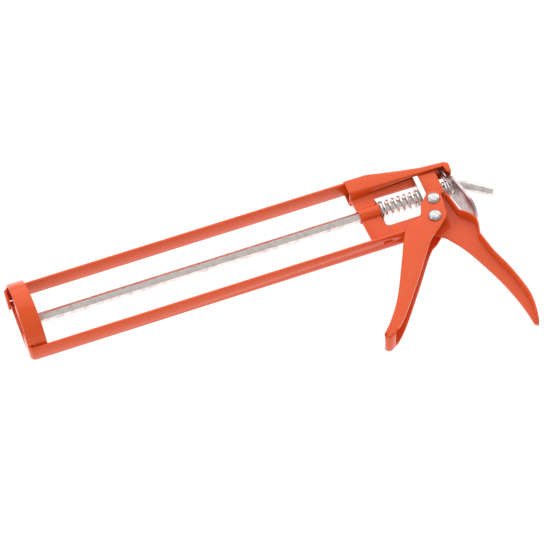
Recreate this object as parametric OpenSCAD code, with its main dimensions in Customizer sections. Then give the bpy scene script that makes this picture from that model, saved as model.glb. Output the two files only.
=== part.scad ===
// Skeleton caulking gun, lying on its side.
// +X runs along the push rod towards the back, +Y towards the top rail, and +Z is up.
// The origin is on the rod's axis, in the nozzle hole at the front plate's outer face.

/* [Cradle] */
// Diameter of the largest cartridge
cartridge_d = 47.5; // [39:0.5:58]
// Room between the cartridge and each rail
cartridge_gap = 1.65; // [0.5:0.05:3]
// Clear length between the front plate and the body
cradle_l = 243.5; // [200:0.5:300]
// Width of the rail strip
rail_w = 13; // [9:0.5:14]
// Thickness of the rail strip
rail_t = 2; // [1.5:0.1:2.5]
// Outer radius of the bottom rail's front corner
corner_r = 4; // [3:0.5:5]

/* [Front end] */
// Thickness of the front plate
plate_t = 2; // [1.5:0.1:3]
// Diameter of the nozzle hole
nozzle_d = 17; // [14:0.5:18]
// How far the front plate reaches on the loading side
plate_reach = 11; // [10.5:0.5:13]
// Thickness of the front plate's turned lip
lip_t = 1.4; // [1:0.1:1.6]
// Thickness of the half ring
band_t = 1.6; // [1.2:0.1:2.4]
// Width of the half ring at the top rail
band_w = 10.8; // [8:0.1:14]
// Extra width of the half ring at the bottom rail
band_flare = 2.6; // [0:0.1:4]
// How far the half ring stands above the cradle's middle
band_rise = 1.8; // [0:0.1:2]
// Length of the hook tab that turns down in front
hook_l = 9.5; // [8:0.5:12]

/* [Body] */
// Thickness of the body's sheet
sheet_t = 1.2; // [1:0.05:1.5]
// Length of the body from its front edge to the back of its post
body_l = 61.5; // [56:0.5:70]
// Start of the window behind the body's front edge
window_x = 14.7; // [12:0.1:17]
// Height of the window's top edge above the rod's axis
window_top = 12.2; // [11:0.1:13]
// Width of the post behind the window
post_w = 12.5; // [10:0.5:13]
// Width over the top channel's walls
channel_w = 15.6; // [15.6:0.1:18]
// Height of the top channel's underside above the rod's axis
channel_y = 15.2; // [14.5:0.1:17]
// Width of the handle's palm flange
palm_w = 18; // [14:0.5:24]
// Length of the handle below the trigger's pivot
handle_l = 104; // [88:1:125]

/* [Trigger] */
// Width over the trigger's cheeks
trigger_w = 18; // [16:0.5:22]
// Thickness of the trigger's sheet
trigger_t = 1.5; // [1:0.1:1.8]
// Length of the trigger below its pivot
trigger_l = 81; // [68:1:98]
// Pivot behind the body's front edge
pivot_x = 46.6; // [44:0.1:50]
// Height of the pivot above the bottom rail
pivot_lift = 1.7; // [1:0.1:3]
// Diameter of the pivot rivet
pivot_d = 5; // [4:0.1:6]
// Diameter of the drive rivet
drive_pin_d = 4.6; // [3.8:0.1:5.6]
// Drive rivet behind the pivot
drive_pin_x = 4.5; // [4:0.1:5]
// Drive rivet above the pivot
drive_pin_y = 14.3; // [13:0.1:15.5]
// Diameter of the rivet heads
head_d = 9; // [8:0.1:10.5]
// Height of the rivet heads
head_h = 2; // [1.5:0.1:2.5]

/* [Rod and plates] */
// Push rod across its flats
rod_af = 6.5; // [5.4:0.1:7.8]
// Straight length of the push rod behind the body
rod_tail = 13; // [12:0.5:16]
// Angle of the rod's bent end
bend_a = 39; // [30:1:50]
// Length of the rod's bent end
bend_l = 18.5; // [14:0.5:24]
// Thickness of the drive plate
drive_t = 3.6; // [3:0.1:4]
// Width of the drive plate
drive_w = 14; // [12:0.1:14.3]
// Diameter of the piston disc
piston_d = 45; // [38:0.5:46]
// Thickness of the piston disc
piston_t = 1.6; // [1.2:0.1:2.4]
// Depth of the piston disc's rim
piston_rim = 5; // [3:0.5:8]
// Thickness of the release plate
release_t = 2.2; // [1.8:0.1:3]
// Width of the release plate
release_w = 23; // [20:0.5:26]
// Length of the release plate
release_l = 46; // [42:0.5:49]
// Tilt of the release plate at rest
release_a = 11.8; // [10:0.1:13]

/* [Springs] */
// Outer diameter of both springs
spring_d = 12.7; // [11:0.1:13.5]
// Wire of the drive spring
drive_wire = 1.4; // [1.2:0.1:1.8]
// Turns of the drive spring
drive_turns = 8; // [6:0.5:9]
// Wire of the release spring
release_wire = 1.1; // [0.9:0.1:1.2]
// Turns of the release spring
release_turns = 2.5; // [2:0.5:3]

/* [Clearances] */
// Radial room between a rivet and the hole that turns on it
running = 0.06; // [0.03:0.01:0.1]
// Room between pieces that move past each other
gap = 0.3; // [0.2:0.05:0.4]
// Radial room between the rod and the body's tunnels
rod_gap = 0.35; // [0.25:0.05:0.5]
// Room in the holes of the drive and release plates
plate_gap = 0.35; // [0.3:0.05:0.45]

/* [Hidden] */
$fn = 64;
eps = 0.01;

paint = [0.84, 0.27, 0.15];
zinc = [0.76, 0.75, 0.73];

// Cradle
rail_in = cartridge_d / 2 + cartridge_gap;
rail_out = rail_in + rail_t;
seat_x = plate_t;
upturn_y = nozzle_d / 2 + 3.5;
fillet_r = corner_r - rail_t;
body_x = seat_x + cradle_l;
band_r = rail_in + band_rise - 0.1;

// Body
window_end = body_l - post_w;
window_step = -3;
tab_l = 6;
tab_places = [11, 25];
rail_fit = 0.05;
hook_end = 9.3;
hook_x = 10.4;
tunnel_r = rod_af / sqrt(3) + rod_gap;
rod_r = rod_af / sqrt(3);
post_r = tunnel_r + sheet_t;
rail_end = 14;
bottom_rail_end = 33;
channel_front = -1.5;
palm_bend = 1.2;

// Trigger
pivot = [body_x + pivot_x, pivot_lift - rail_in];
drive_pin = pivot + [drive_pin_x, drive_pin_y];
cheek_in = trigger_w / 2 - trigger_t;
pin_room = 0.75;
pin_arc_end = 55;
window_bottom = pivot[1] + norm([drive_pin_x, drive_pin_y]) * sin(pin_arc_end) - drive_pin_d / 2 - pin_room;

// Drive plate and springs
drive_back = drive_pin[0] - drive_pin_d / 2 - gap;
drive_front = drive_back - drive_t;
drive_top = channel_y - 0.8;
spring_r = spring_d / 2;

// Release plate
release_x = body_x + body_l + 8.4;
release_hang = channel_y + 1;
release_top = [release_x - release_hang * tan(release_a), release_hang];

// Piston
head_t = 1;
piston_x = seat_x + 0.6 + head_t;
piston_hole_r = rod_af / 2 - 0.2;
washer_t = 1.2;
nut_t = 4;
nut_af = 10;
nut_x = piston_x + piston_t + washer_t;

function normal_at(pts, i) =
  let (a = pts[max(i - 1, 0)], b = pts[min(i + 1, len(pts) - 1)], d = (b - a) / norm(b - a))
  [-d[1], d[0]];

// Points of a band of thickness t on the left of a line of points
function strip(pts, t) =
  concat(pts, [for (i = [len(pts) - 1 : -1 : 0]) pts[i] + t * normal_at(pts, i)]);

function blend_point(a, b, c, d, s) =
  0.5 * ((2 * b) + (c - a) * s + (2 * a - 5 * b + 4 * c - d) * s * s
  + (3 * b - a - 3 * c + d) * s * s * s);

// A smooth curve through a few points
function smooth(pts, steps = 4) = concat(
  [for (i = [0 : len(pts) - 2], k = [0 : steps - 1])
    blend_point(pts[max(i - 1, 0)], pts[i], pts[i + 1], pts[min(i + 2, len(pts) - 1)], k / steps)],
  [pts[len(pts) - 1]]);

function arc(centre, r, a0, a1, steps = 8) =
  [for (i = [0 : steps]) centre + r * [cos(a0 + (a1 - a0) * i / steps), sin(a0 + (a1 - a0) * i / steps)]];

// Lengthens an outline below its root without changing its width
root = -20;
function stretch(pts, l, nominal) =
  [for (p = pts) [p[0], p[1] < root ? root + (p[1] - root) * (l + root) / (nominal + root) : p[1]]];

// Outlines from the trigger's pivot, hand to tip
handle_front = stretch([[3, -14.8], [11, -27.8], [18.5, -45.9], [25.1, -65.4], [29.8, -85.9], [31.7, -102.2]],
                       handle_l, 104);
handle_back = stretch([[23.9, -24.6], [27.3, -41.8], [32.1, -56.9], [36.2, -77], [36.7, -88], [34.8, -103]],
                      handle_l, 104);
saddle = [[16.2, 9.2], [17.9, -0.9], [23.4, -5.8], [26.4, -11.5], [26.1, -16]];
trigger_front = stretch([[-19.3, 0], [-26.7, -9.8], [-34.7, -26.2], [-49.9, -55.9], [-65.6, -76.9], [-67.3, -79.3],
                         [-67.2, -81.2], [-65.6, -82.6], [-63.6, -82.7]],
                        trigger_l, 81);
trigger_back = stretch([[-59.8, -80.4], [-48.5, -69.3], [-27.9, -42.3], [-10.2, -18], [-2.6, -11.9], [6.6, -3.7]],
                       trigger_l, 81);

module tube(r, hole_r, h) {
  difference() {
    cylinder(r = r, h = h);
    translate([0, 0, -eps]) cylinder(r = hole_r, h = h + 2 * eps);
  }
}

// A domed rivet head standing on z = 0
module rivet_head() {
  dome_r = (head_d * head_d / 4 + head_h * head_h) / (2 * head_h);
  intersection() {
    translate([0, 0, head_h - dome_r]) sphere(r = dome_r);
    cylinder(d = head_d, h = head_h);
  }
}

// A rod along X between two places
module x_rod(r, from, to) {
  translate([from, 0, 0]) rotate([0, 90, 0]) cylinder(r = r, h = to - from);
}

// A plate outline in Y and Z, drawn as [z, y], thickened along +X
module yz_plate(t) {
  rotate([90, 0, 90]) linear_extrude(t) mirror([1, 0]) rotate(90) children();
}

// ---- Cradle ----

module top_rail() {
  turn_r = 3;
  hook_x = 2 * rail_t + 0.5;
  color(paint)
  translate([0, 0, -rail_w / 2])
  linear_extrude(rail_w)
  union() {
    translate([turn_r - hook_x, rail_in]) square([body_x + rail_end + hook_x - turn_r, rail_t]);
    translate([-hook_x, rail_out - hook_l]) square([rail_t, hook_l - turn_r]);
    polygon(concat(arc([turn_r - hook_x, rail_out - turn_r], turn_r, 90, 180),
                   arc([turn_r - hook_x, rail_out - turn_r], turn_r - rail_t, 180, 90)));
  }
}

module bottom_rail() {
  color(paint)
  difference() {
    translate([-rail_t, 0, -rail_w / 2])
    linear_extrude(rail_w)
    union() {
      translate([corner_r, -rail_out]) square([body_x + bottom_rail_end + rail_t - corner_r, rail_t]);
      translate([0, corner_r - rail_out]) square([rail_t, rail_out - corner_r - upturn_y]);
      polygon(concat(arc([corner_r, corner_r - rail_out], corner_r, 180, 270),
                     arc([corner_r, corner_r - rail_out], corner_r - rail_t, 270, 180)));
    }
    for (x = tab_places) translate([body_x + x - tab_l / 2 - 0.05, -rail_out - eps, -sheet_t - 0.05])
      cube([tab_l + 0.1, rail_t + 2 * eps, 2 * sheet_t + 0.1]);
  }
}

module front_plate() {
  room = 0.05;
  foot = -rail_in + room;
  lip_l = rail_t;
  lip_top = rail_in - 0.1;
  corner_h = 5;
  lip_foot = -upturn_y - 1;
  color(paint)
  intersection() {
    difference() {
      union() {
        translate([0, band_rise, 0]) x_rod(band_r - band_t - room, 0, plate_t);
        intersection() {
          translate([0, band_rise, 0]) x_rod(band_r - band_t - room, -lip_l, eps);
          union() {
            translate([-lip_l, lip_foot, -plate_reach]) cube([lip_l + eps, lip_top - lip_foot, lip_t]);
            translate([-lip_l, lip_top - corner_h, -plate_reach])
              cube([lip_l + eps, corner_h, plate_reach - rail_w / 2 - gap]);
          }
        }
      }
      x_rod(nozzle_d / 2, -eps, plate_t + eps);
    }
    translate([0, 0, -plate_reach])
    linear_extrude(2 * rail_out)
    polygon([[-lip_l, foot + fillet_r], [0, foot + fillet_r], [fillet_r, foot], [plate_t + fillet_r, foot],
             [plate_t + fillet_r, -foot], [-lip_l, -foot]]);
  }
}

module front_band() {
  start = rail_w / 2 + 0.1;
  width = band_w + band_flare;
  color(paint)
  translate([-rail_t, 0, 0])
  intersection() {
    translate([0, band_rise, 0])
    difference() {
      x_rod(band_r, 0, width);
      x_rod(band_r - band_t, -eps, width + eps);
    }
    linear_extrude(band_r + 1)
    polygon([[0, -rail_in], [width, -rail_in], [band_w, rail_out + 1], [0, rail_out + 1]]);
    union() {
      translate([-1, -rail_in, start]) cube([width + 2, rail_in, band_r + 1]);
      translate([rail_t + fillet_r, -rail_in, 0]) cube([width, rail_in, band_r + 1]);
      translate([-1, -eps, start]) cube([width + 2, rail_out + 1, band_r + 1]);
    }
  }
}

// ---- Body ----

function from_body(pts) = [for (p = pts) [body_x + p[0], p[1]]];
function from_pivot(pts) = [for (p = pts) pivot + p];

// Line of the palm flange, from the post over the saddle to the tip
palm_line = concat(from_body([[body_l, -7.9]]), from_pivot(saddle), smooth(from_pivot(handle_back), 4));

// Line of the top channel's roof, front to back
roof_y = rail_out + sheet_t + rail_fit;
roof_line = concat(
  [[body_x + channel_front, roof_y], [body_x + rail_end + 1, roof_y]],
  from_body([[24, roof_y - 2.1], [38.8, roof_y - 5.3], [52.9, roof_y - 7.9], [body_l + 5, roof_y - 8.9]]),
  arc([body_x + body_l + 7.4, roof_y - 12.6], 3.5, 80, 0, 4),
  [[body_x + body_l + hook_x, hook_end]]);

module web_outline() {
  polygon(concat(
    from_body([[-1, channel_y + sheet_t], [1, -rail_in]]),
    [[body_x + bottom_rail_end, -rail_in]],
    smooth(from_pivot(handle_front), 4),
    [for (i = [len(palm_line) - 1 : -1 : 0]) palm_line[i]],
    from_body([[body_l, channel_y + sheet_t]])));
}

// The palm flange seen from behind, narrowing to a round tip
module flange_outline() {
  tip_y = pivot[1] - handle_l + 1;
  side = palm_w / 2;
  taper = 16;
  polygon(concat(
    [[side, rail_out], [side, tip_y + taper]],
    [for (a = [10 : 10 : 80]) [side * pow(cos(a), 0.7), tip_y + taper * (1 - sin(a))]],
    [[0, tip_y - 1], [-side, tip_y - 1], [-side, rail_out]]));
}

module window_outline() {
  corner = 2.5;
  pin_back = drive_pin[0] - body_x + drive_pin_d / 2 + pin_room;
  polygon(concat(
    [[body_x + window_x, window_top], [body_x + window_end, window_top], [body_x + window_end, window_step]],
    [[body_x + pin_back, window_step], [body_x + pin_back, window_bottom]],
    arc([body_x + window_x + corner, window_bottom + corner], corner, 270, 180, 4)));
}

// The pressed channel that wraps the top rail and ends in the hook over the release plate
module top_channel() {
  inner = [for (i = [0 : len(roof_line) - 1]) roof_line[i] - sheet_t * normal_at(roof_line, i)];
  floor_end = body_x + body_l;
  difference() {
    linear_extrude(channel_w / 2)
    polygon(concat(
      [[body_x + channel_front, channel_y]], roof_line,
      [[body_x + body_l + hook_x - 2.8, hook_end], [body_x + body_l + hook_x - 3.9, channel_y]]));
    translate([0, 0, -1])
    linear_extrude(channel_w / 2 - sheet_t + 1)
    polygon(concat(
      [[body_x + channel_front - 1, channel_y + sheet_t], [body_x + channel_front - 1, rail_out + rail_fit]],
      inner, [[floor_end + hook_x - sheet_t, hook_end - 0.3], [floor_end + 4, hook_end - 0.3],
      [floor_end + eps, channel_y - 1],
      [floor_end, channel_y + sheet_t]]));
  }
}

module shell() {
  difference() {
    union() {
      linear_extrude(sheet_t) difference() {
        web_outline();
        window_outline();
      }
      intersection() {
        linear_extrude(palm_w / 2) polygon(strip(palm_line, -palm_bend));
        translate([body_x, 0, 0]) yz_plate(2 * body_l) flange_outline();
      }
      top_channel();
      intersection() {
        x_rod(tunnel_r + sheet_t, body_x - 0.5, body_x + window_x);
        translate([body_x - 1, -rail_in, 0]) cube([body_l + 2, 2 * rail_in, channel_w]);
      }
      translate([body_x + window_end, -post_r, 0]) cube([post_w, channel_y + post_r + eps, post_r]);
      for (x = tab_places) translate([body_x + x - tab_l / 2, -rail_out - 0.8, 0])
        cube([tab_l, rail_t + 0.8 + eps, sheet_t]);
    }
    x_rod(tunnel_r, body_x - 1, body_x + body_l + 1);
    translate([body_x + window_end - eps, -tunnel_r, -1])
      cube([post_w + 1, channel_y + tunnel_r, tunnel_r + 1]);
    translate([pivot[0], pivot[1], -1]) cylinder(d = pivot_d, h = sheet_t + 2);
  }
}

module near_shell() {
  color(paint) shell();
}

module far_shell() {
  color(paint) mirror([0, 0, 1]) shell();
}

// The rivet that the trigger turns on, with a head outside each cheek
module pivot_rivet() {
  reach = trigger_w / 2 + gap;
  color(zinc) translate([pivot[0], pivot[1], 0]) {
    translate([0, 0, -reach]) cylinder(d = pivot_d, h = 2 * reach);
    translate([0, 0, reach]) rivet_head();
    mirror([0, 0, 1]) translate([0, 0, reach]) rivet_head();
  }
}

// A sleeve on each side of the web keeps the trigger centred
module pivot_spacers() {
  color(zinc) translate([pivot[0], pivot[1], 0])
  for (side = [0, 1]) mirror([0, 0, side]) translate([0, 0, sheet_t])
    tube(pivot_d / 2 + 2, pivot_d / 2, cheek_in - gap - sheet_t);
}

// ---- Trigger ----

module cheek_outline() {
  polygon(concat(
    smooth(from_pivot(trigger_front), 4),
    smooth(from_pivot(trigger_back), 4),
    arc(pivot, 8.9, 0, 14, 2),
    arc(drive_pin, 6.2, 0, 150, 8),
    from_pivot([[-5.7, 12.1], [-8.5, 4.9], [-12.5, 2]])));
}

// The channel's front wall, from below the rail round the tip
module trigger_wall() {
  slant = 1.4;
  wall_top = -12;
  difference() {
    cheek_outline();
    translate([slant * trigger_t, 0]) cheek_outline();
    translate(pivot + [-trigger_l / 2, wall_top]) square(trigger_l);
  }
}

module trigger() {
  color(paint)
  difference() {
    union() {
      for (side = [0, 1]) mirror([0, 0, side])
        translate([0, 0, cheek_in]) linear_extrude(trigger_t) cheek_outline();
      translate([0, 0, -cheek_in - eps]) linear_extrude(2 * (cheek_in + eps)) trigger_wall();
    }
    translate([pivot[0], pivot[1], -trigger_w]) cylinder(d = pivot_d + 2 * running, h = 2 * trigger_w);
    translate([drive_pin[0], drive_pin[1], -trigger_w]) cylinder(d = drive_pin_d, h = 2 * trigger_w);
  }
}

module drive_rivet() {
  color(zinc) translate([drive_pin[0], drive_pin[1], 0]) {
    translate([0, 0, -trigger_w / 2]) cylinder(d = drive_pin_d, h = trigger_w);
    translate([0, 0, trigger_w / 2]) rivet_head();
    mirror([0, 0, 1]) translate([0, 0, trigger_w / 2]) rivet_head();
  }
}

// ---- Drive and release ----

// The cocking plate, with a notch that rides on the web above the window
module drive_plate() {
  bottom = window_bottom + pin_room;
  notch = sheet_t + gap;
  color(zinc) difference() {
    translate([drive_front, bottom, -drive_w / 2]) cube([drive_t, drive_top - bottom, drive_w]);
    x_rod(rod_r + plate_gap, drive_front - 1, drive_back + 1);
    translate([drive_front - 1, window_top - gap, -notch]) cube([drive_t + 2, drive_top, 2 * notch]);
  }
}

// A coil of round wire along X
module coil(from, to, turns, wire, sides = 8, steps = 20) {
  r = spring_r - wire / 2;
  rings = ceil(turns * steps);
  pitch = (to - from - wire) / turns;
  climb = atan(pitch / (2 * PI * r));
  points = [for (i = [0 : rings], k = [0 : sides - 1])
    let (a = 360 * turns * i / rings, b = 360 * k / sides,
         radial = wire / 2 * cos(b), along = wire / 2 * sin(b))
    [from + wire / 2 + pitch * turns * i / rings + along * cos(climb),
     (r + radial) * cos(a) + along * sin(climb) * sin(a),
     (r + radial) * sin(a) - along * sin(climb) * cos(a)]];
  last = rings * sides;
  faces = concat(
    [[for (k = [0 : sides - 1]) k]],
    [for (i = [0 : rings - 1], k = [0 : sides - 1])
      let (a = i * sides + k, b = i * sides + (k + 1) % sides) [a, a + sides, b + sides, b]],
    [[for (k = [sides - 1 : -1 : 0]) last + k]]);
  polyhedron(points, faces);
}

module drive_spring() {
  color(zinc) coil(body_x + window_x + 0.1, drive_front - 0.1, drive_turns, drive_wire);
}

module release_outline() {
  tongue = 4;
  r = release_w / 2;
  polygon(concat(
    [[-tongue, 0], [-tongue, -8], [-r, -15]],
    arc([0, r - release_l], r, 180, 360, 16),
    [[r, -15], [tongue, -8], [tongue, 0]]));
}

// The thumb plate, hung by its tongue in the body's hook and tilted so that it grips the rod
module release_plate() {
  axis_drop = release_top[1] / cos(release_a);
  color(zinc)
  translate([release_top[0], release_top[1], 0])
  rotate([0, 0, release_a])
  difference() {
    translate([-release_t / 2, 0, 0]) yz_plate(release_t) release_outline();
    translate([-release_t, -axis_drop, 0]) rotate([0, 90, 0])
      cylinder(r = rod_r + plate_gap + 0.5, h = 2 * release_t);
  }
}

module release_spring() {
  color(zinc) coil(body_x + body_l + 0.2, release_x - release_t / 2 - spring_r * tan(release_a) - 0.4,
                   release_turns, release_wire);
}

// ---- Push rod ----

module push_rod() {
  bend_r = 9;
  bend_x = body_x + body_l + rod_tail;
  neck_r = piston_hole_r - 0.05;
  color(zinc) {
    x_rod(neck_r + 2, piston_x - head_t, piston_x);
    x_rod(neck_r, piston_x - eps, nut_x + nut_t + eps);
    translate([nut_x + nut_t, 0, 0]) rotate([0, 90, 0])
      cylinder(r = rod_r, h = bend_x - nut_x - nut_t + eps, $fn = 6);
    translate([bend_x, -bend_r, 0]) rotate([0, 0, 90 - bend_a])
      rotate_extrude(angle = bend_a) translate([bend_r, 0]) rotate(90) circle(r = rod_r, $fn = 6);
    translate([bend_x + bend_r * sin(bend_a), -bend_r * (1 - cos(bend_a)), 0])
      rotate([0, 0, -bend_a]) rotate([0, 90, 0]) translate([0, 0, -eps])
      cylinder(r = rod_r, h = bend_l + eps, $fn = 6);
  }
}

module piston_disc() {
  color(zinc) translate([piston_x, 0, 0]) rotate([0, 90, 0]) difference() {
    cylinder(d = piston_d, h = piston_rim);
    translate([0, 0, piston_t]) cylinder(d = piston_d - 2 * piston_t, h = piston_rim);
    translate([0, 0, -1]) cylinder(r = piston_hole_r, h = piston_rim + 2);
  }
}

module piston_washer() {
  color(zinc) translate([piston_x + piston_t, 0, 0]) rotate([0, 90, 0])
    tube(8, piston_hole_r, washer_t);
}

module piston_nut() {
  color(zinc) translate([nut_x, 0, 0]) rotate([0, 90, 0]) difference() {
    cylinder(d = nut_af / cos(30), h = nut_t, $fn = 6);
    translate([0, 0, -1]) cylinder(r = piston_hole_r, h = nut_t + 2);
  }
}

top_rail();
bottom_rail();
front_plate();
front_band();
near_shell();
far_shell();
pivot_rivet();
pivot_spacers();
trigger();
drive_rivet();
drive_plate();
drive_spring();
release_plate();
release_spring();
push_rod();
piston_disc();
piston_washer();
piston_nut();
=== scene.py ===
import math
import bpy
from mathutils import Matrix, Vector


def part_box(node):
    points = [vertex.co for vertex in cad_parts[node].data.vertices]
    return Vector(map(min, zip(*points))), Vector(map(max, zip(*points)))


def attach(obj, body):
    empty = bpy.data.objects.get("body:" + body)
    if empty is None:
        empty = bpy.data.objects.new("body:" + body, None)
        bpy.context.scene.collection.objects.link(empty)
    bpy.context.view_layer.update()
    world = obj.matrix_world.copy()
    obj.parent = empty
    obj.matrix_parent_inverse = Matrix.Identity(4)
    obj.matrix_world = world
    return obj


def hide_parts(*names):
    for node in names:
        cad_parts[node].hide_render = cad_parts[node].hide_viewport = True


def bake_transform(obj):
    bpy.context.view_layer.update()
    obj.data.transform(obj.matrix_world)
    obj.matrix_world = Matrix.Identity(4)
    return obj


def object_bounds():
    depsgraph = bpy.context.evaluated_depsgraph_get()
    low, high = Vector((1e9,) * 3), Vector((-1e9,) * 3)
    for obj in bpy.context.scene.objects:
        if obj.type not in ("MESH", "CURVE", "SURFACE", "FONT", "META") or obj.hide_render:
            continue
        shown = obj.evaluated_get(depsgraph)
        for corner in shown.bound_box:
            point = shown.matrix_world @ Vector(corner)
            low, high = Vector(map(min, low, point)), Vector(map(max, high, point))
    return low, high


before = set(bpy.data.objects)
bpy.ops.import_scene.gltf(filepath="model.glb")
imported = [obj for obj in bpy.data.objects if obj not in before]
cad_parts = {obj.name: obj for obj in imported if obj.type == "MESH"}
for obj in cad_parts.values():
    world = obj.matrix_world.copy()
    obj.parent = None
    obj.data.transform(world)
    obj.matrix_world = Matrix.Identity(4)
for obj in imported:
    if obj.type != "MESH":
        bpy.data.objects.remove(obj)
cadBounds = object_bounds()
mm = 0.001
print("frame loaded:", len(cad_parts), "nodes")


def deselectAll():
    bpy.ops.object.select_all(action="DESELECT")


def takeUp(obj):
    deselectAll()
    obj.select_set(True)
    bpy.context.view_layer.objects.active = obj


def openMesh(obj):
    takeUp(obj)
    bpy.ops.object.mode_set(mode="EDIT")
    bpy.ops.mesh.select_all(action="SELECT")


def closeMesh():
    bpy.ops.object.mode_set(mode="OBJECT")


def applyModifier(obj, kind, **settings):
    takeUp(obj)
    modifier = obj.modifiers.new(kind.title(), kind)
    for key, value in settings.items():
        setattr(modifier, key, value)
    bpy.ops.object.modifier_apply(modifier=modifier.name)


def settle(obj, matrix=None):
    # leaves the place and turn of a piece in its mesh
    if matrix is not None:
        obj.matrix_world = matrix
    takeUp(obj)
    bpy.ops.object.transform_apply(location=True, rotation=True, scale=True)


def joined(name, parts):
    deselectAll()
    for part in parts:
        part.select_set(True)
    bpy.context.view_layer.objects.active = parts[0]
    bpy.ops.object.join()
    parts[0].name = parts[0].data.name = name
    return parts[0]


def hand(obj, body, nodes, finish, angle=32):
    # smooths a finished piece, gives it its body and its finish, and hides the nodes it stands for
    takeUp(obj)
    bpy.ops.object.shade_smooth_by_angle(angle=math.radians(angle))
    obj.data.materials.clear()
    obj.data.materials.append(finish)
    if body:
        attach(obj, body)
    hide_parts(*nodes)


def facesOf(mesh):
    # the faces on each edge of a mesh
    sides = {}
    for face in mesh.polygons:
        for key in face.edge_keys:
            sides.setdefault(key, []).append(face)
    return sides


def roundBends(obj, bendOf):
    # rounds each edge by the radius in mm that bendOf gives for its middle and its two faces
    widest = 6.0
    mesh = obj.data
    sides = facesOf(mesh)
    weights = mesh.attributes.new("bevel_weight_edge", "FLOAT", "EDGE")
    for edge in mesh.edges:
        pair = sides.get(tuple(sorted(edge.vertices)), [])
        if len(pair) == 2:
            ends = [mesh.vertices[v].co for v in edge.vertices]
            radius = bendOf((ends[0] + ends[1]) / 2 / mm, pair)
            weights.data[edge.index].value = radius / widest
    applyModifier(obj, "BEVEL", width=widest * mm, segments=6, limit_method="WEIGHT",
                  use_clamp_overlap=False)


def merged(node, name):
    # a copy of a CAD node with one face for each flat
    look = {"weld": 0.004, "flat": 0.6}
    obj = bpy.data.objects.new(name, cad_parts[node].data.copy())
    bpy.context.scene.collection.objects.link(obj)
    openMesh(obj)
    bpy.ops.mesh.remove_doubles(threshold=look["weld"] * mm)
    bpy.ops.mesh.dissolve_limited(angle_limit=math.radians(look["flat"]))
    closeMesh()
    return obj


def softened(node, name, edge, limit=30, bendOf=None, extra=None):
    # a merged copy of a sheet part with its sharp edges rounded, as the press and the paint leave them
    obj = merged(node, name)
    added = extra(obj) if extra else []
    if bendOf:
        roundBends(obj, bendOf)
    applyModifier(obj, "BEVEL", width=edge * mm, segments=2, limit_method="ANGLE",
                  angle_limit=math.radians(limit), use_clamp_overlap=False, miter_outer="MITER_ARC")
    return joined(name, [obj] + added)


def turned(name, profile, segments=48):
    # turns a profile of (radius, height) steps in mm about Z, as on a lathe
    radius, height = profile[0]
    bpy.ops.mesh.primitive_circle_add(vertices=segments, radius=radius * mm, fill_type="NGON",
                                      location=(0, 0, height * mm))
    obj = bpy.context.active_object
    obj.name = obj.data.name = name
    settle(obj)
    openMesh(obj)
    for nextRadius, nextHeight in profile[1:]:
        bpy.ops.mesh.extrude_region_move(
            TRANSFORM_OT_translate={"value": (0, 0, (nextHeight - height) * mm)})
        grow = nextRadius / radius
        bpy.ops.transform.resize(value=(grow, grow, 1), center_override=(0, 0, nextHeight * mm))
        radius, height = nextRadius, nextHeight
    bpy.ops.mesh.select_all(action="SELECT")
    bpy.ops.mesh.normals_make_consistent(inside=False)
    closeMesh()
    return obj


alongX = Matrix.Rotation(math.pi / 2, 4, "Y")


class Signal:
    # one output socket; a sign between two of them adds its Math node
    def __init__(self, finish, socket):
        self.finish = finish
        self.socket = socket

    def sum(self, operation, first, second):
        return self.finish.add("ShaderNodeMath", {"operation": operation}, {0: first, 1: second})

    def __add__(self, other):
        return self.sum("ADD", self, other)

    def __radd__(self, other):
        return self.sum("ADD", other, self)

    def __rsub__(self, other):
        return self.sum("SUBTRACT", other, self)

    def __mul__(self, other):
        return self.sum("MULTIPLY", self, other)

    def above(self, low, high):
        # 0 under low, 1 over high
        return self.finish.add("ShaderNodeMapRange", {"interpolation_type": "SMOOTHSTEP"},
                               {0: self, 1: low, 2: high})


class Finish:
    def __init__(self, name):
        self.material = bpy.data.materials.new(name)
        self.material.use_nodes = True
        self.tree = self.material.node_tree
        self.tree.nodes.clear()
        self.place = self.add("ShaderNodeTexCoord", output="Object")

    def add(self, kind, settings=None, inputs=None, output=0):
        node = self.tree.nodes.new(kind)
        for key, value in (settings or {}).items():
            setattr(node, key, value)
        for key, value in (inputs or {}).items():
            if isinstance(value, Signal):
                self.tree.links.new(value.socket, node.inputs[key])
            else:
                node.inputs[key].default_value = value
        return Signal(self, node.outputs[output])

    def stretched(self, scale):
        return self.add("ShaderNodeMapping", {}, {"Vector": self.place, "Scale": scale})

    def cloud(self, size, detail=2.0, roughness=0.5, place=None):
        # soft noise with spots about size mm across
        return self.add("ShaderNodeTexNoise", {}, {"Vector": place or self.place, "Scale": 1 / (size * mm),
                                                   "Detail": detail, "Roughness": roughness})

    def cells(self, size):
        # distance from the middle of cells about size mm across
        return self.add("ShaderNodeTexVoronoi", {}, {"Vector": self.place, "Scale": 1 / (size * mm)})

    def mixed(self, factor, low, high):
        return self.add("ShaderNodeMix", {"data_type": "RGBA"}, {0: factor, 6: low, 7: high}, output=2)

    def relief(self, height, depth, strength=1.0, under=None):
        inputs = {"Strength": strength, "Distance": depth * mm, "Height": height}
        if under is not None:
            inputs["Normal"] = under
        return self.add("ShaderNodeBump", {}, inputs)

    def finished(self, **sockets):
        inputs = {key.replace("_", " "): value for key, value in sockets.items()}
        surface = self.add("ShaderNodeBsdfPrincipled", {}, inputs)
        output = self.tree.nodes.new("ShaderNodeOutputMaterial")
        self.tree.links.new(surface.socket, output.inputs["Surface"])
        return self.material


def rgb(red, green, blue):
    return (red, green, blue, 1.0)


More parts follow.
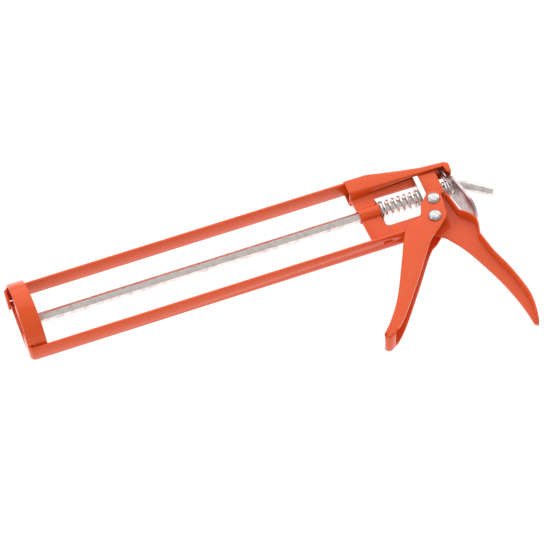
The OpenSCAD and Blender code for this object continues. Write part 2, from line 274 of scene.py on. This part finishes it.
def glossPaint():
    look = {"fresh": rgb(0.84, 0.112, 0.022), "thin": rgb(0.76, 0.080, 0.014),
            "run": 9.0, "patch": 31.0, "peel": 1.1, "nib": 7.0, "nibEdge": (0.02, 0.07),
            "scuff": 2.6, "scuffEdge": (0.60, 0.72), "runRelief": (0.35, 0.22),
            "peelRelief": (0.05, 0.25), "nibRelief": (0.08, 0.5),
            "roughness": 0.24, "coat": 0.7, "coatRoughness": 0.06, "density": 1.27}
    paint = Finish("orange_gloss_paint")
    run = paint.cloud(look["run"], 3.0)
    patch = paint.cloud(look["patch"], 2.0)
    peel = paint.cloud(look["peel"], 1.0)
    nib = 1 - paint.cells(look["nib"]).above(*look["nibEdge"])
    scuff = paint.cloud(look["scuff"], 6.0, 0.7).above(*look["scuffEdge"])
    colour = paint.mixed(run * 0.6 + patch * 0.4, look["fresh"], look["thin"])
    normal = paint.relief(run, *look["runRelief"])
    normal = paint.relief(peel, *look["peelRelief"], normal)
    normal = paint.relief(nib, *look["nibRelief"], normal)
    return paint.finished(
        Base_Color=colour, Normal=normal, IOR=look["density"], Coat_IOR=look["density"],
        Roughness=look["roughness"] + run * 0.08 + scuff * 0.10,
        Coat_Weight=look["coat"] - scuff * 0.25, Coat_Roughness=look["coatRoughness"])


def zincPlate(name, bright, dull, rough, streakMm):
    look = {"drawn": (0.06, 1, 1), "bloom": 4.2, "bloomEdge": (0.42, 0.68), "spot": 1.1,
            "spotEdge": (0.56, 0.72), "streakRelief": (0.06, 0.35), "bloomRelief": (0.04, 0.3)}
    zinc = Finish(name)
    streak = zinc.cloud(streakMm, 5.0, 0.62, zinc.stretched(look["drawn"]))
    bloom = zinc.cloud(look["bloom"], 4.0, 0.66).above(*look["bloomEdge"])
    spot = zinc.cloud(look["spot"], 3.0, 0.6).above(*look["spotEdge"])
    colour = zinc.mixed(bloom * 0.75 + spot * 0.25, bright, dull)
    normal = zinc.relief(streak, *look["streakRelief"])
    normal = zinc.relief(bloom + spot * 0.4, *look["bloomRelief"], normal)
    return zinc.finished(Base_Color=colour, Metallic=1.0, Normal=normal,
                         Roughness=rough + bloom * 0.14 + spot * 0.08 + streak * 0.05)


paintFinish = glossPaint()
rodFinish = zincPlate("drawn_zinc_rod", rgb(0.88, 0.84, 0.81), rgb(0.62, 0.58, 0.55), 0.24, 0.5)
plateFinish = zincPlate("bright_zinc_plate", rgb(0.82, 0.80, 0.79), rgb(0.60, 0.52, 0.52), 0.20, 0.35)
# the release plate's zinc is a darker copy of the bright plate: painted shade for its front face, which lies
# in shadow
shadedZincFinish = zincPlate("zinc_plate_painted_shade", rgb(0.56, 0.47, 0.47), rgb(0.40, 0.32, 0.33), 0.30, 0.35)
rivetFinish = zincPlate("rivet_plating", rgb(0.54, 0.54, 0.53), rgb(0.38, 0.38, 0.38), 0.22, 0.8)
springFinish = zincPlate("spring_wire", rgb(0.86, 0.84, 0.83), rgb(0.62, 0.56, 0.54), 0.12, 0.4)
print("finishes made")


shellBends = {"sheet": 1.2, "channelWall": 7.8, "channelFloor": 15.2, "postWall": 5.28,
              "postBack": 306.0, "hookFoot": 10.0, "windowTop": 13.0, "roofFoot": 17.0,
              "floorCurve": 2.6, "wallCurve": 2.2, "roofCurve": 2.6, "tunnelCurve": 0.8, "postCurve": 1.4}


def near(value, target, room=0.06):
    return abs(value - target) < room


def liesFlat(face):
    return abs(face.normal.z) > 0.99


def onHandle(place):
    return place.x > shellBends["postBack"] and place.y < shellBends["hookFoot"]


def shellBend(middle, pair):
    # the press's radius on an edge of a shell
    b = shellBends
    depth = abs(middle.z)
    flat = any(liesFlat(face) for face in pair)
    raised = max(abs(face.center.z) / mm for face in pair) > b["sheet"] + 0.3
    if near(depth, b["sheet"]) and raised and flat:
        if onHandle(middle):
            return 0.0
        return b["floorCurve"] if middle.y > b["windowTop"] else b["tunnelCurve"]
    if near(depth, b["channelWall"]) and flat:
        if near(middle.y, b["channelFloor"], 0.3):
            return b["wallCurve"]
        if middle.y > b["roofFoot"] and any(face.normal.y > 0.3 for face in pair):
            return b["roofCurve"]
    if near(depth, b["postWall"], 0.15) and any(face.normal.y < -0.9 for face in pair):
        return b["postCurve"]
    return 0.0


def palmFillet(shell):
    # a concave fillet in the corner of web and palm flange, thinning towards the tip
    look = {"saddle": 3.0, "palm": 5.5, "from": -36.0, "to": -52.0, "least": 0.5, "growth": 0.22,
            "sunk": 0.2, "steps": 8}
    mesh = shell.data
    links, normals = {}, {}
    for key, pair in facesOf(mesh).items():
        ends = [mesh.vertices[v].co / mm for v in key]
        web = any(liesFlat(face) for face in pair)
        wall = [face for face in pair if abs(face.normal.z) < 0.1
                and abs(face.center.z) / mm > shellBends["sheet"] + 0.3]
        behind = all(onHandle(end) and near(abs(end.z), shellBends["sheet"]) for end in ends)
        if web and wall and behind:
            for here, there in (key, key[::-1]):
                links.setdefault(here, []).append(there)
                normals[here] = normals.get(here, Vector()) + wall[0].normal
    chain = [max((v for v in links if len(links[v]) == 1), key=lambda v: mesh.vertices[v].co.y)]
    following = links[chain[0]]
    while following:
        chain.append(following[0])
        following = [v for v in links[chain[-1]] if v not in chain]
    tip = mesh.vertices[chain[-1]].co.y / mm
    points = []
    for v in chain:
        corner = mesh.vertices[v].co / mm
        inward = normals[v].normalized()
        upward = Vector((0, 0, math.copysign(1, corner.z)))
        part = min(max((look["from"] - corner.y) / (look["from"] - look["to"]), 0), 1)
        radius = min(look["saddle"] + (look["palm"] - look["saddle"]) * part,
                     look["least"] + look["growth"] * (corner.y - tip))
        angles = [math.pi / 2 * k / look["steps"] for k in range(look["steps"] + 1)]
        ring = [(radius * (1 - math.sin(a)), radius * (1 - math.cos(a))) for a in angles]
        ring += [(-look["sunk"], radius), (-look["sunk"], -look["sunk"]), (radius, -look["sunk"])]
        points += [(corner + inward * across + upward * up) * mm for across, up in ring]
    size = look["steps"] + 4
    faces = [tuple(range(size)), tuple(range(len(points) - size, len(points)))]
    for start in range(0, len(points) - size, size):
        for k in range(size):
            after = (k + 1) % size
            faces.append((start + k, start + after, start + size + after, start + size + k))
    strip = bpy.data.objects.new("fillet", bpy.data.meshes.new("fillet"))
    strip.data.from_pydata(points, [], faces)
    bpy.context.scene.collection.objects.link(strip)
    openMesh(strip)
    bpy.ops.mesh.normals_make_consistent(inside=False)
    closeMesh()
    return [strip]


def outlineOf(obj, height):
    # the outer edge loop, in mm, of the flat that lies at the given height
    mesh = obj.data
    uses, links = {}, {}
    for face in mesh.polygons:
        if near(face.center.z / mm, height) and liesFlat(face):
            for key in face.edge_keys:
                uses[key] = uses.get(key, 0) + 1
    for first, second in (key for key, times in uses.items() if times == 1):
        links.setdefault(first, []).append(second)
        links.setdefault(second, []).append(first)
    start = min(links, key=lambda v: mesh.vertices[v].co.y)
    loop = [start, links[start][0]]
    while loop[-1] != start:
        loop.append([v for v in links[loop[-1]] if v != loop[-2]][0])
    points = [mesh.vertices[v].co.xy / mm for v in loop[:-1]]
    area = sum(a.x * b.y - b.x * a.y for a, b in zip(points, points[1:] + points[:1]))
    return points if area > 0 else points[::-1]


def triggerSheet():
    # two cheeks and the wall round the front and the tip, bent from one sheet
    look = {"half": 9.0, "sheet": 1.5, "bend": 1.8, "rim": 0.35, "wallTop": -36.0, "tip": -104.0,
            "tipTurn": 0.6, "sharp": 50}
    probe = merged("trigger", "probe")
    outline = outlineOf(probe, look["half"])
    bpy.data.objects.remove(probe)
    count = len(outline)
    points = [(p.x * mm, p.y * mm, side * look["half"] * mm) for side in (1, -1) for p in outline]
    faces = [tuple(range(count)), tuple(range(2 * count - 1, count - 1, -1))]
    bends = set()
    for i in range(count):
        j = (i + 1) % count
        along = (outline[j] - outline[i]).normalized()
        middle = (outline[i] + outline[j]) / 2
        front = along.y < 0 and middle.y < look["wallTop"]
        tip = middle.y < look["tip"] and along.y < look["tipTurn"]
        if front or tip:
            faces.append((i, count + i, count + j, j))
            bends |= {tuple(sorted((i, j))), tuple(sorted((count + i, count + j)))}
    sheet = bpy.data.objects.new("triggerChannel", bpy.data.meshes.new("triggerChannel"))
    sheet.data.from_pydata(points, [], faces)
    bpy.context.scene.collection.objects.link(sheet)
    weights = sheet.data.attributes.new("bevel_weight_edge", "FLOAT", "EDGE")
    for edge in sheet.data.edges:
        weights.data[edge.index].value = 1.0 if tuple(sorted(edge.vertices)) in bends else 0.0
    applyModifier(sheet, "BEVEL", width=look["bend"] * mm, segments=6, limit_method="WEIGHT",
                  use_clamp_overlap=False)
    applyModifier(sheet, "SOLIDIFY", thickness=look["sheet"] * mm, offset=-1.0)
    applyModifier(sheet, "BEVEL", width=look["rim"] * mm, segments=2, limit_method="ANGLE",
                  angle_limit=math.radians(look["sharp"]), use_clamp_overlap=True)
    return sheet


sheetParts = {
    "top_rail": {"name": "topRail", "body": "frame", "edge": 0.45},
    "bottom_rail": {"name": "bottomRail", "body": "frame", "edge": 0.45},
    "front_plate": {"name": "frontPlate", "body": "frame", "edge": 0.35},
    "front_band": {"name": "frontBand", "body": "frame", "edge": 0.2},
    "near_shell": {"name": "nearShell", "body": "frame", "edge": 0.3, "bends": shellBend,
                   "extra": palmFillet},
    "far_shell": {"name": "farShell", "body": "frame", "edge": 0.3, "bends": shellBend,
                  "extra": palmFillet},
}
for node, part in sheetParts.items():
    piece = softened(node, part["name"], part["edge"], bendOf=part.get("bends"), extra=part.get("extra"))
    hand(piece, part["body"], [node], paintFinish)
hand(triggerSheet(), "trigger", ["trigger"], paintFinish)
print("sheet parts softened")

plateParts = {
    "drive_plate": {"name": "drivePlate", "body": "drive", "edge": 0.25, "slot": "zinc_steel",
                    "finish": plateFinish},
    "release_plate": {"name": "releasePlate", "body": "release", "edge": 0.5, "slot": "zinc_steel",
                      "finish": shadedZincFinish},
    "push_rod": {"name": "pushRod", "body": "rod", "edge": 0.3, "slot": "zinc_steel",
                 "finish": rodFinish, "limit": 20},
    "pivot_spacers": {"name": "pivotSpacers", "body": "frame", "edge": 0.2, "slot": "rivet_steel",
                      "finish": rivetFinish},
}
for node, part in plateParts.items():
    piece = softened(node, part["name"], part["edge"], limit=part.get("limit", 30))
    hand(piece, part["body"], [node], part["finish"])
print("plates and rod made")


def rivet(node, name, body, shank):
    # one half turned from the middle out to its domed head, then its twin turned over
    dome = {"height": 2.0, "lip": 0.35, "crown": 0.9, "under": 0.25, "edge": 0.2, "overlap": 0.5, "steps": 8}
    low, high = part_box(node)
    half = (high.z - low.z) / 2 / mm
    head = (high.x - low.x) / 2 / mm
    foot = half - dome["height"]
    brim = foot + dome["lip"]
    steps = [(shank, -dome["overlap"]), (shank, foot), (head - dome["under"], foot),
             (head, foot + dome["edge"]), (head, brim)]
    for k in range(1, dome["steps"]):
        turn = math.radians(90 * k / dome["steps"])
        steps.append((head * math.cos(turn) ** dome["crown"],
                      brim + (dome["height"] - dome["lip"]) * math.sin(turn)))
    sides = [turned(name, steps, 56)]
    sides.append(sides[0].copy())
    sides[1].data = sides[0].data.copy()
    bpy.context.scene.collection.objects.link(sides[1])
    settle(sides[1], Matrix.Rotation(math.pi, 4, "X"))
    piece = joined(name, sides)
    centre = Vector(((low.x + high.x) / 2, (low.y + high.y) / 2, 0))
    settle(piece, Matrix.Translation(centre))
    hand(piece, body, [node], rivetFinish, 40)


rivet("pivot_rivet", "pivotRivet", "frame", 2.5)
rivet("drive_rivet", "driveRivet", "trigger", 2.3)
print("rivets turned")


def onRod(piece, node, finish):
    # turns a lathe piece along the rod and puts it where its node starts
    low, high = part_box(node)
    settle(piece, Matrix.Translation((low.x, 0, 0)) @ alongX)
    hand(piece, "rod", [node], finish, 40)


def discProfile(radius):
    # a pressed cup with a turned rim and a raised ring round its hole
    look = {"hole": 3.0, "rim": 5.0, "sheet": 1.6, "curve": 1.2, "edge": 0.4, "ringOut": 13.0, "ringIn": 9.0,
            "ringHeight": 0.35, "slope": 0.8, "chamfer": 0.3}
    sheet, rim, edge, slope = look["sheet"], look["rim"], look["edge"], look["slope"]
    rimFoot = rim - look["chamfer"]
    inner = radius - sheet
    ring = sheet + look["ringHeight"]
    return [(look["hole"], 0), (radius - look["curve"], 0), (radius - edge, 0.35), (radius, 1.1),
            (radius, rimFoot), (radius - edge, rim), (inner + look["chamfer"], rim), (inner, rimFoot),
            (inner, sheet + slope), (inner - slope, sheet),
            (look["ringOut"], sheet), (look["ringOut"] - 1, ring), (look["ringIn"], ring),
            (look["ringIn"] - slope, sheet), (look["hole"], sheet)]


def washerProfile():
    look = {"hole": 3.0, "radius": 8.0, "thick": 1.2, "side": 0.3, "edge": 0.25}
    side = look["radius"] - look["side"]
    return [(look["hole"], 0), (side, 0), (look["radius"], look["edge"]),
            (look["radius"], look["thick"] - look["edge"]), (side, look["thick"]),
            (look["hole"], look["thick"])]


discLow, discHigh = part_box("piston_disc")
discRadius = (discHigh.y - discLow.y) / 2 / mm
onRod(turned("pistonDisc", discProfile(discRadius), 96), "piston_disc", plateFinish)
onRod(turned("pistonWasher", washerProfile(), 64), "piston_washer", plateFinish)
nut = softened("piston_nut", "pistonNut", 0.35)
hand(nut, "rod", ["piston_nut"], rivetFinish)
print("piston made")


def wound(name, node, coil):
    # closed end turns and open ones between them, in round wire
    look = {"stepsPerTurn": 30, "closedGap": 1.05, "roundness": 4, "weld": 0.001}
    low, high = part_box(node)
    wire, closed = coil["wire"], coil["closed"]
    radius = (high.z - low.z) / 2 / mm - wire / 2
    start, end = low.x / mm + wire / 2, high.x / mm - wire / 2
    turns = coil["turns"] + 2 * closed
    closedPitch = wire * look["closedGap"]
    openPitch = (end - start - 2 * closed * closedPitch) / coil["turns"]
    points = []
    x = start
    for k in range(int(turns * look["stepsPerTurn"]) + 1):
        turn = k / look["stepsPerTurn"]
        atEnd = min(turn, turns - turn) < closed
        if k:
            x += (closedPitch if atEnd else openPitch) / look["stepsPerTurn"]
        angle = 2 * math.pi * turn + coil["from"]
        points.append((x, radius * math.cos(angle), radius * math.sin(angle)))
    curve = bpy.data.curves.new(name, "CURVE")
    curve.dimensions = "3D"
    curve.bevel_depth = wire / 2 * mm
    curve.bevel_resolution = look["roundness"]
    curve.use_fill_caps = True
    line = curve.splines.new("POLY")
    line.points.add(len(points) - 1)
    for point, place in zip(line.points, points):
        point.co = [c * mm for c in place] + [1]
    obj = bpy.data.objects.new(name, curve)
    bpy.context.scene.collection.objects.link(obj)
    takeUp(obj)
    bpy.ops.object.convert(target="MESH")
    obj = bpy.context.active_object
    openMesh(obj)
    bpy.ops.mesh.remove_doubles(threshold=look["weld"] * mm)
    bpy.ops.mesh.normals_make_consistent(inside=False)
    closeMesh()
    hand(obj, None, [node], springFinish, 40)
    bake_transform(obj)


wound("driveSpring", "drive_spring",
      {"wire": 1.4, "turns": 6.0, "closed": 1.0, "from": 0.6, "body": "drive"})
wound("releaseSpring", "release_spring",
      {"wire": 1.1, "turns": 1.6, "closed": 0.5, "from": 1.9, "body": "release"})
print("springs wound")


studio = {"floorDrop": 0.5, "floorSize": 8.0, "floorPlace": (0.16, -0.02), "floorGlow": 0.97,
          "floorDark": rgb(0.20, 0.20, 0.20), "floorLight": rgb(0.22, 0.22, 0.22), "floorGrain": 600.0,
          "floorRoughness": 0.9, "glow": rgb(1, 1, 1), "world": rgb(0.9, 0.9, 0.9), "worldStrength": 0.66,
          "middle": (0.19, -0.02, 0)}
floorHeight = min(cadBounds[0][2], cadBounds[1][2]) - studio["floorDrop"] * mm
bpy.ops.mesh.primitive_plane_add(size=studio["floorSize"], location=(*studio["floorPlace"], floorHeight))
floor = bpy.context.active_object
floor.name = "studioFloor"
settle(floor)
card = Finish("white_card")
grain = card.cloud(studio["floorGrain"], 1.0)
floor.data.materials.append(card.finished(
    Base_Color=card.mixed(grain, studio["floorDark"], studio["floorLight"]),
    Roughness=studio["floorRoughness"], Specular_IOR_Level=0.0,
    Emission_Color=studio["glow"], Emission_Strength=studio["floorGlow"]))

world = bpy.data.worlds.new("studio")
bpy.context.scene.world = world
world.use_nodes = True
world.node_tree.nodes["Background"].inputs["Color"].default_value = studio["world"]
world.node_tree.nodes["Background"].inputs["Strength"].default_value = studio["worldStrength"]

softboxes = [
    {"name": "overhead", "towards": (0.16, 0.62, 0.80), "distance": 1.4, "size": 1.9, "watts": 13.0},
    {"name": "key", "towards": (-0.80, 0.10, 0.60), "distance": 1.3, "size": 0.6, "watts": 2.5},
    {"name": "rim", "towards": (0.85, 0.5, 0.35), "distance": 1.3, "size": 0.7, "watts": 3.0},
]
for box in softboxes:
    light = bpy.data.lights.new(box["name"], "AREA")
    light.shape = "SQUARE"
    light.size = box["size"]
    light.energy = box["watts"]
    lamp = bpy.data.objects.new(box["name"], light)
    towards = Vector(box["towards"]).normalized()
    lamp.location = Vector(studio["middle"]) + towards * box["distance"]
    lamp.rotation_euler = towards.to_track_quat("Z", "Y").to_euler()
    bpy.context.scene.collection.objects.link(lamp)

viewer = {"azimuth": -16.6467, "elevation": 55.2653, "roll": -3.7968, "distance": 1.9,
          "lens": 181.778, "sensor": 36.0, "farthest": 20.0, "aim": (0.163, -0.025, 0),
          "slide": (0.0104, 0.0037103)}
turn = (Matrix.Rotation(math.radians(viewer["azimuth"]), 3, "Z")
        @ Matrix.Rotation(math.radians(90 - viewer["elevation"]), 3, "X")
        @ Matrix.Rotation(math.radians(viewer["roll"]), 3, "Z"))
cameraData = bpy.data.cameras.new("viewer")
cameraData.lens = viewer["lens"]
cameraData.sensor_width = viewer["sensor"]
cameraData.clip_end = viewer["farthest"]
camera = bpy.data.objects.new("viewer", cameraData)
camera.matrix_world = Matrix.Translation(
    Vector(viewer["aim"]) + turn @ Vector((*viewer["slide"], viewer["distance"]))
) @ turn.to_4x4()
bpy.context.scene.collection.objects.link(camera)
bpy.context.scene.camera = camera
bpy.context.scene.view_settings.view_transform = "Standard"
print("studio set")
